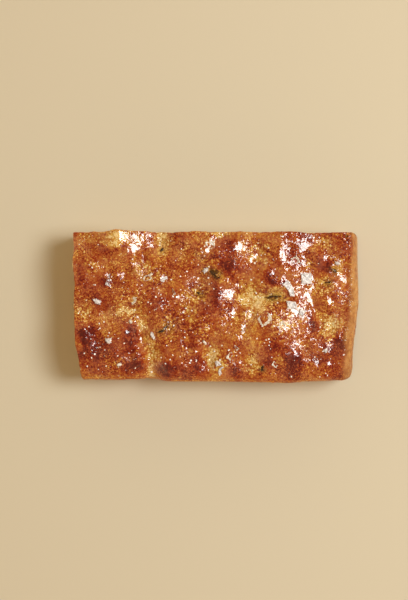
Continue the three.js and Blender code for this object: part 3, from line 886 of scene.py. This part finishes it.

top_colour = add_node(tree, "ValToRGB", (brown,), stops=CRUST_SHADES)
stained = add_node(tree, "ValToRGB", (brown,), stops=STAIN_SHADES)
wall_colour = add_node(tree, "ValToRGB", (wall_brown,), stops=WALL_SHADES)
# painted sheen: a pinkish-tan veil over the brown in soft patches, weaker on the most burnt crust
painted_sheen = add_node(tree, "TexNoise", {"Vector": here, **lumps_of(6, detail=4)})
painted_sheen = add_node(tree, "MapRange", {"Value": painted_sheen, "From Min": 0.46, "From Max": 0.66, "To Max": 0.3})
unburnt = add_node(tree, "Math", (1.25, brown), operation="SUBTRACT", use_clamp=True)
painted_sheen = add_node(tree, "Math", (painted_sheen, unburnt), operation="MULTIPLY")
by_stain = {0: stored["stain"], 6: top_colour, 7: stained}
top_colour = add_node(tree, "Mix", by_stain, output=2, data_type="RGBA")
dull = hex_to_linear(SHEEN_TAN)
top_colour = add_node(tree, "Mix", {0: painted_sheen, 6: top_colour, 7: dull}, output=2, data_type="RGBA")
by_place = {0: stored["on_wall"], 6: top_colour, 7: wall_colour}
crust_colour = add_node(tree, "Mix", by_place, output=2, data_type="RGBA")
print("with the colours:", len(tree.nodes), "nodes")

# %% Crumb under the skin
CRUMB_REACH = 2.6  # mm from the skin to the palest crumb

depth = stored["skin_depth"]
inwards = (depth, 1 / CRUMB_REACH, speckle)
crumb_depth = add_node(tree, "Math", inwards, operation="MULTIPLY_ADD", use_clamp=True)
crumb_colour = add_node(tree, "ValToRGB", (crumb_depth,), stops=CRUMB_SHADES)
is_crumb = add_node(tree, "MapRange", {"Value": depth, "From Min": 0.35, "From Max": 0.9})
colour = add_node(tree, "Mix", {0: is_crumb, 6: crust_colour, 7: crumb_colour}, output=2, data_type="RGBA")
rough = add_node(tree, "Math", (is_crumb, 0.22, 0.5), operation="MULTIPLY_ADD")
set_inputs(shader, {"Base Color": colour, "Roughness": rough, "Specular IOR Level": 0.16})
set_inputs(shader, {"Subsurface Weight": 0.12, "Subsurface Scale": 1.0})
set_inputs(shader, {"Subsurface Radius": (0.9 * MM, 0.4 * MM, 0.2 * MM)})  # red light goes deepest
print("with colour and crumb:", len(tree.nodes), "nodes")

# %% Bumps too small for the mesh
fine = add_node(tree, "TexNoise", {"Vector": here, **lumps_of(0.55)})
coarse = add_node(tree, "TexNoise", {"Vector": here, **lumps_of(1.1)})
coarse = add_node(tree, "Math", (coarse, 0.6), operation="MULTIPLY")
relief = add_node(tree, "Math", (fine, 0.35, coarse), operation="MULTIPLY_ADD")
bead_rise = add_node(tree, "Math", (stored["beading"], BEAD_HEIGHT, 0.04), operation="MULTIPLY_ADD")
bead_rise = add_node(tree, "Math", (dome, bead_rise), operation="MULTIPLY")
relief = add_node(tree, "Math", (relief, bead_rise), operation="ADD")
set_inputs(shader, {"Normal": add_node(tree, "Bump", {"Height": relief, "Strength": 1, "Distance": MM})})
print("with the bumps:", len(tree.nodes), "nodes")

# %% [markdown]
# ## The film of oil
#
# Olive oil lies on the crust as a clear film, mirror-smooth, which is what a shader's coat is for. Olive
# oil has an IOR of 1.47. Here it is higher, because the lamp is a weaker thing to mirror than a real window
# with the sky in it. The film dips with the beads under it, and lies flatter the more oil there is.

# %% Oil
off_walls = add_node(tree, "Math", (1.0, stored["dry"]), operation="SUBTRACT")
on_skin = add_node(tree, "Math", (1.0, is_crumb), operation="SUBTRACT", use_clamp=True)
film = add_node(tree, "Math", (wet, off_walls), operation="MULTIPLY")
film = add_node(tree, "Math", (film, on_skin), operation="MULTIPLY")
dips = add_node(tree, "Math", (bead_rise, 0.6), operation="MULTIPLY")
ripples = add_node(tree, "TexNoise", {"Vector": here, **lumps_of(1.8, detail=1)})
ripples = add_node(tree, "Math", (ripples, 0.42, dips), operation="MULTIPLY_ADD")
thin = add_node(tree, "Math", (stored["oil"], -0.94, 1.0), operation="MULTIPLY_ADD")
ripples = add_node(tree, "Math", (ripples, thin), operation="MULTIPLY")
film_shape = add_node(tree, "Bump", {"Height": ripples, "Strength": 1, "Distance": MM})
set_inputs(shader, {"Coat Weight": film, "Coat Normal": film_shape})
set_inputs(shader, {"Coat Roughness": 0.03, "Coat IOR": 1.63})
bread.data.materials.append(bread_material)
print(bread_material.name, "has", len(tree.nodes), "nodes")

# %% [markdown]
# ## Flaky salt
#
# Flaky sea salt grows as hollow, stepped pyramids on the face of warm brine, and breaks into tiles, cups,
# slivers and nuggets. On hot oiled bread some stay dry and white, and some soak and turn nearly clear. Each
# flake is a thin sheet of points with a height for each, bent, tapered or stepped as its kind needs, and
# closed underneath.

# %% A closed sheet
def closed_sheet(upper, lower):
    """Points and faces of a solid between two grids of points, upper and lower, of the same shape."""
    rows, columns = upper.shape[:2]
    sheet_points = np.concatenate((upper.reshape(-1, 3), lower.reshape(-1, 3)))
    under = rows * columns
    place = np.arange(under).reshape(rows, columns)
    quads = np.stack((place[:-1, :-1], place[1:, :-1], place[1:, 1:], place[:-1, 1:]), -1).reshape(-1, 4)
    border = np.concatenate((place[:, 0], place[-1, 1:], place[-2::-1, -1], place[0, -2:0:-1]))
    after = np.roll(border, -1)
    sides = np.stack((border, border + under, after + under, after), -1)
    return sheet_points, np.concatenate((quads, quads[:, ::-1] + under, sides)).tolist()


flat = np.zeros((3, 3, 3))
print("a sheet of 3 by 3 points closes with", len(closed_sheet(flat, flat)[1]), "faces")

# %% Where a topping lies
UP = Vector((0, 0, 1))
bread_tree = BVHTree.FromObject(bread, bpy.context.evaluated_depsgraph_get())


def crust_under(x, y):
    """The crust's point and direction under a place in plan, in mm."""
    hit, normal, _, _ = bread_tree.ray_cast(Vector((x * MM, y * MM, 2 * slab_high[2])), -UP)
    return np.array(hit) / MM, np.array(normal)


def lay_on_crust(piece, middle, length, width, turn, sink):
    """Lays a piece made flat at the origin on the crust, turned, tilted to it and pressed in by sink mm."""
    c, s = math.cos(turn), math.sin(turn)
    spots = [(a * length / 2, b * width / 2) for a in (-0.8, 0, 0.8) for b in (-0.8, 0, 0.8)]
    spots = np.array([(middle[0] + a * c - b * s, middle[1] + a * s + b * c) for a, b in spots])
    heights = np.array([crust_under(x, y)[0][2] for x, y in spots])
    plane = np.column_stack((spots - middle, np.ones(len(spots))))
    slope_x, slope_y, level = np.linalg.lstsq(plane, heights, rcond=None)[0]
    upright = Vector((-slope_x, -slope_y, 1)).normalized()
    tilt = UP.rotation_difference(upright).to_matrix().to_4x4()
    over = Matrix.Translation(Vector((middle[0], middle[1], level - sink)) * MM)
    piece.data.transform(over @ tilt @ Matrix.Rotation(turn, 4, "Z"))


print("crust over the middle, mm:", round(float(crust_under(0, 0)[0][2]), 1))

# %% [markdown]
# ## Kinds of flake
#
# thick, curl, hollow and lean are heights in mm: how thick the flake is, how far its ends rise, how deep a
# hollow pyramid it is and how far it leans along each axis. bend is in degrees. The rest are shares of the
# flake's own size: broad widens it, taper narrows one end, ragged chips its outline, rounded takes off its
# corners, rim thins all but its edge, and crossed cuts the two diagonals of a grown square into it. steps
# is how many terraces a pyramid has, and sink, in mm, is how deep it lies in the crust.

# %% Ten kinds
FLAKE_KINDS = {
    "tile": {"thick": 0.95, "rim": 0.3, "crossed": 0.3, "ragged": 0.12},
    "sliver": {
        "thick": 0.8, "broad": 1.5, "bend": -44, "curl": 0.4, "taper": -0.4, "rim": 0.3, "ragged": 0.1,
    },
    "block": {"thick": 1.2, "ragged": 0.26, "rim": 0.12, "crossed": 0.1},
    "cup": {
        "thick": 0.5, "hollow": 0.55, "steps": 4, "ragged": 0.3, "rounded": 0.5, "rim": 0.45,
        "lean": (0.35, -0.4), "sink": 0.45,
    },
    "plate": {"thick": 0.6, "ragged": 0.45, "curl": 0.2, "rim": 1.0, "lean": (0.2, 0.3), "sink": 0.25},
    "nugget": {"thick": 1.25, "ragged": 0.4, "rounded": 0.55},
    "shard": {"thick": 0.8, "broad": 1.3, "taper": 0.85, "ragged": 0.16, "rim": 1.1, "sink": 0.2},
    "hook": {"thick": 0.7, "broad": 0.4, "bend": 95, "ragged": 0.12},
    "crescent": {"thick": 0.6, "bend": 120, "taper": 0.6, "ragged": 0.08},
    "wedge": {"thick": 0.6, "taper": 0.6, "ragged": 0.3, "rim": 0.9, "lean": (-0.3, 0.2), "sink": 0.2},
}
FLAKE_ORDER = (  # the kind and the state of each packed flake, in the order of their names
    ("tile", "dry"), ("sliver", "dry"), ("block", "dry"), ("cup", "wet"), ("nugget", "dry"),
    ("shard", "dry"), ("cup", "wet"), ("hook", "dry"), ("plate", "wet"), ("nugget", "dry"),
    ("nugget", "dry"), ("nugget", "dry"), ("wedge", "wet"), ("crescent", "dry"), ("shard", "wet"),
    ("nugget", "wet"), ("nugget", "dry"), ("plate", "wet"), ("plate", "wet"), ("block", "dry"),
    ("plate", "wet"), ("nugget", "dry"), ("nugget", "dry"), ("nugget", "wet"), ("nugget", "wet"),
    ("shard", "dry"), ("shard", "wet"), ("plate", "wet"),
)
print("kinds of flake:", len(FLAKE_KINDS))

# %% A flake's outline
def flake_outline(u, v, length, width, rng, ragged, rounded, taper, bend):
    """Where the points of a flake lie in plan: a chipped, tapered and bent rectangle, in mm."""
    shift_x, shift_y = (
        sum(rng.uniform(-ragged, ragged) * (1 + i * u) * (1 + j * v) / 4 for i in (-1, 1) for j in (-1, 1))
        for _ in range(2)
    )
    ring = np.maximum(abs(u), abs(v))
    angle = np.arctan2(v, u)
    chips = sum(rng.uniform(-1, 1) * np.sin(k * angle + rng.uniform(0, 6.3)) for k in (3, 5, 8, 13))
    chipped = 1 + 0.35 * ragged * chips * ring**3
    roundness = 1 - rounded * (1 - 1 / np.maximum(1, np.hypot(u, v)))
    x = (u + shift_x) * chipped * roundness * length / 2
    narrowed = 1 - abs(taper) * (1 + math.copysign(1, taper) * u) / 2
    y = (v + shift_y) * chipped * roundness * width / 2 * narrowed
    if bend:
        arc = length / math.radians(bend)
        middle = arc * (1 + math.cos(length / 2 / arc)) / 2
        x, y = (arc + y) * np.sin(x / arc), (arc + y) * np.cos(x / arc) - middle
    return x, y


tip = flake_outline(1, 0, 3, 2, np.random.default_rng(0), ragged=0, rounded=0, taper=0, bend=90)
print("bent by 90 degrees, a 3 mm flake ends, in mm, at", [round(float(place), 2) for place in tip])

# %% A flake's body
FLAKE_ROWS, FLAKE_COLUMNS = 25, 21


def flake_shape(
    length, width, seed, thick, broad=1.0, bend=0, curl=0.0, taper=0.0, hollow=0.0, steps=1, ragged=0.03,
    rounded=0.0, rim=0.0, crossed=0.0, lean=(0.0, 0.0),
):
    """Points and faces of one flake, flat at the origin, in mm."""
    rng = np.random.default_rng(seed)
    u, v = np.meshgrid(np.linspace(-1, 1, FLAKE_ROWS), np.linspace(-1, 1, FLAKE_COLUMNS), indexing="ij")
    ring = np.maximum(abs(u), abs(v))
    x, y = flake_outline(u, v, length, width * broad, rng, ragged, rounded, taper, bend)
    lifted = curl * u**2 + hollow * np.floor(ring * steps) / steps + lean[0] * u + lean[1] * v
    top = thick * (1 - 0.5 * ring**8) * (1 - rounded * 0.7 * ring**2)
    top += thick * rim * (ease(0.55, 0.8, ring) - 1)
    top -= thick * crossed * np.exp(-(((abs(u) - abs(v)) / 0.1) ** 2)) * (ring < 0.8)
    waves = np.sin(5 * u + rng.uniform(0, 6)) * np.sin(4 * v + rng.uniform(0, 6))
    terraces = 0.12 * np.round(1.4 * waves)
    top += thick * (terraces * (ring < 0.9) + 0.04 * rng.random(u.shape))
    return closed_sheet(np.stack((x, y, lifted + top), -1), np.stack((x * 0.9, y * 0.9, lifted - 0.1), -1))


print("points in a flake:", 2 * FLAKE_ROWS * FLAKE_COLUMNS)

# %% [markdown]
# ## Sea salt, dry and soaked
#
# Salt is clear. What makes a flake white is brine trapped in it as a haze of tiny hollows, and what makes
# it vanish is oil, which fills them. So one material, of salt's own IOR, runs from hazy to clear, and is
# used for both with other amounts. Its faces are glossy, but never quite even.

# %% Salt
def salt_material(name, stops, clear, clearer, roughness):
    """Sea salt with patchy haze: clear is how much light passes where it is hazy, clearer where it isn't."""
    material, tree, shader = new_material(name)
    here = add_node(tree, "TexCoord", output="Object")
    haze = add_node(tree, "TexNoise", {"Vector": here, **lumps_of(0.8)})
    haze = add_node(tree, "MapRange", {"Value": haze, "From Min": 0.38, "From Max": 0.64})
    passes = clear
    if clearer > clear:
        passes = add_node(tree, "Math", (haze, clear - clearer, clearer), operation="MULTIPLY_ADD")
    uneven = add_node(tree, "TexNoise", {"Vector": here, **lumps_of(0.7)})
    set_inputs(shader, {
        "Base Color": add_node(tree, "ValToRGB", (haze,), stops=stops),
        "Roughness": add_node(tree, "Math", (haze, 0.2, roughness), operation="MULTIPLY_ADD"),
        "Transmission Weight": passes,
        "IOR": 1.54,
        "Normal": add_node(tree, "Bump", {"Height": uneven, "Strength": 1, "Distance": 0.12 * MM}),
    })
    return material, shader


DRY_SHADES = ((0.0, "C6C0C0"), (0.5, "DBD5D5"), (1.0, "FAF6F5"))
WET_SHADES = ((0.0, "EBDCC4"), (1.0, "FFFCF6"))

dry_salt, shader = salt_material("dry_sea_salt", DRY_SHADES, clear=0.0, clearer=0.14, roughness=0.22)
set_inputs(shader, {"Subsurface Weight": 0.2, "Subsurface Radius": (MM, MM, MM)})
wet_salt, _ = salt_material("oil_soaked_sea_salt", WET_SHADES, clear=0.1, clearer=0.4, roughness=0.05)
salt_materials = {"dry": dry_salt, "wet": wet_salt}
print("salt:", [material.name for material in salt_materials.values()])

# %% Lay the flakes
salt_nodes = sorted(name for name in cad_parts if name.startswith("salt_flake"))
for index, (node, (kind, state)) in enumerate(zip(salt_nodes, FLAKE_ORDER)):
    middle, length, width, turn = lie_of(node)
    look = {"sink": 0.15, **FLAKE_KINDS[kind]}
    sink = look.pop("sink")
    flake = mesh_from(node.replace("salt_flake", "salt"), *flake_shape(length, width, seed=index, **look))
    flake.data.shade_flat()
    lay_on_crust(flake, middle, length, width, turn, sink)
    flake.data.materials.append(salt_materials[state])
    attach(flake, "root")
    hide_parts(node)
print("flakes laid:", len(salt_nodes))

# %% [markdown]
# ## Salt dust
#
# Between the flakes lie the crumbs that broke off them, too small to count. They are one mesh of little
# crooked blocks, dropped on the crust by casting a ray down at each place.

# %% Dust
DUST_COUNT = 340
SMALLEST, LARGEST = 0.2, 0.75  # mm


def salt_dust(count, seed):
    """One mesh of small crooked blocks lying on the crust."""
    rng = np.random.default_rng(seed)
    block = np.array([(x, y, z) for z in (-0.5, 0.5) for y in (-0.5, 0.5) for x in (-0.5, 0.5)])
    sides = ((0, 2, 3, 1), (4, 5, 7, 6), (0, 1, 5, 4), (1, 3, 7, 5), (3, 2, 6, 7), (2, 0, 4, 6))
    dust_points, dust_faces = [], []
    while len(dust_points) < count:
        x = rng.uniform(slab_low[0] / MM + 2, slab_high[0] / MM - 5)
        y = rng.uniform(slab_low[1] / MM + 3, slab_high[1] / MM - 2)
        hit, normal = crust_under(x, y)
        longest = SMALLEST + (LARGEST - SMALLEST) * rng.random() ** 2.2  # the small ones are by far the most
        size = longest * np.array((1, rng.uniform(0.5, 1), rng.uniform(0.4, 0.8)))
        corners = (block + rng.uniform(-0.12, 0.12, block.shape)) * size
        spin = np.array(Matrix.Rotation(rng.uniform(0, 6.3), 3, "Z"))
        lean = np.array(UP.rotation_difference(Vector(normal)).to_matrix())
        start = 8 * len(dust_points)
        dust_points.append(corners @ spin.T @ lean.T + hit + normal * size[2] * 0.25)
        dust_faces += [[start + corner for corner in side] for side in sides]
    return np.concatenate(dust_points), dust_faces


dust = mesh_from("salt_dust", *salt_dust(DUST_COUNT, seed=71))
dust.data.shade_flat()
DUST_SHADES = ((0.0, "F6EBDA"), (1.0, "FFFFFF"))
dust_salt, _ = salt_material("crumbled_sea_salt", DUST_SHADES, clear=0, clearer=0, roughness=0.3)
dust.data.materials.append(dust_salt)
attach(dust, "root")
print("grains of dust:", len(dust.data.vertices) // 8)

# %% [markdown]
# ## Rosemary
#
# A rosemary leaf is a stiff needle whose edges roll under and whose top has a groove down the middle. Baked
# in oil it darkens to a blackish olive and shrivels. Each one is swept along a gently bent line, with a
# ring of points that is flatter below and grooved on top, and narrows to its tips.

# %% A leaf
LEAF_STEPS, LEAF_ROUND = 26, 14  # rings along it, points round each
LEAF_HEIGHT = 0.42  # of the leaf's width


def leaf_shape(length, width, seed):
    """Points and faces of a rosemary leaf lying along X at the origin, in mm."""
    rng = np.random.default_rng(seed)
    along = np.linspace(-1, 1, LEAF_STEPS)
    girth = np.maximum(0.06, (1 - abs(along) ** 2.4)) * (1 + 0.18 * rng.normal(size=LEAF_STEPS))
    bend, arch, twist = rng.uniform(-0.16, 0.16), rng.uniform(0.1, 0.35), rng.uniform(-0.5, 0.5)
    angle = np.linspace(0, 2 * math.pi, LEAF_ROUND, endpoint=False)
    side, up = np.cos(angle), np.sin(angle)
    groove = 0.45 * np.exp(-((side / 0.28) ** 2)) * (up > 0)
    rings = []
    for t, g in zip(along, girth):
        y = side * width / 2 * g
        z = (up * (0.7 + 0.3 * (up > 0)) - groove) * width * LEAF_HEIGHT * g
        c, s = math.cos(twist * t), math.sin(twist * t)
        ring = np.stack((np.zeros(LEAF_ROUND), y * c - z * s, y * s + z * c), -1)
        middle = (t * length / 2, bend * length * t * t / 2, LEAF_HEIGHT * width + arch * (t * t - 0.3))
        rings.append(ring + middle)
    place = np.arange(LEAF_STEPS * LEAF_ROUND).reshape(LEAF_STEPS, LEAF_ROUND)
    beside = np.roll(place, -1, axis=1)
    sides = np.stack((place[:-1], beside[:-1], beside[1:], place[1:]), -1).reshape(-1, 4)
    return np.concatenate(rings), [*sides.tolist(), place[0, ::-1].tolist(), place[-1].tolist()]


print("points in a leaf:", LEAF_STEPS * LEAF_ROUND)

# %% Baked leaf
LEAF_SHADES = ((0.0, "1A0D04"), (0.4, "3A1F08"), (0.7, "7A4A14"), (1.0, "C08A3C"))  # scorched, to oily brown

leaf_material, tree, shader = new_material("baked_rosemary_leaf")
here = add_node(tree, "TexCoord", output="Object")
mottle = add_node(tree, "TexNoise", {"Vector": here, **lumps_of(1.1, detail=4)})
mottle = add_node(tree, "MapRange", {"Value": mottle, "From Min": 0.38, "From Max": 0.66})
wrinkles = add_node(tree, "TexNoise", {"Vector": here, **lumps_of(0.7)})
set_inputs(shader, {
    "Base Color": add_node(tree, "ValToRGB", (mottle,), stops=LEAF_SHADES),
    "Roughness": add_node(tree, "Math", (mottle, 0.25, 0.3), operation="MULTIPLY_ADD"),
    "Specular IOR Level": 0.12,
    "Coat Weight": 0.7,
    "Coat Roughness": 0.03,
    "Normal": add_node(tree, "Bump", {"Height": wrinkles, "Strength": 1, "Distance": 0.4 * MM}),
})
print(leaf_material.name, "has", len(tree.nodes), "nodes")

# %% Lay the leaves
for index, node in enumerate(leaf_nodes):
    middle, length, width, turn = lie_of(node)
    leaf = mesh_from(node.replace("rosemary_leaf", "leaf"), *leaf_shape(length, width, seed=80 + index))
    lay_on_crust(leaf, middle, length, width, turn, sink=0.5)
    leaf.data.materials.append(leaf_material)
    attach(leaf, "root")
    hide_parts(node)
print("leaves laid:", len(leaf_nodes))
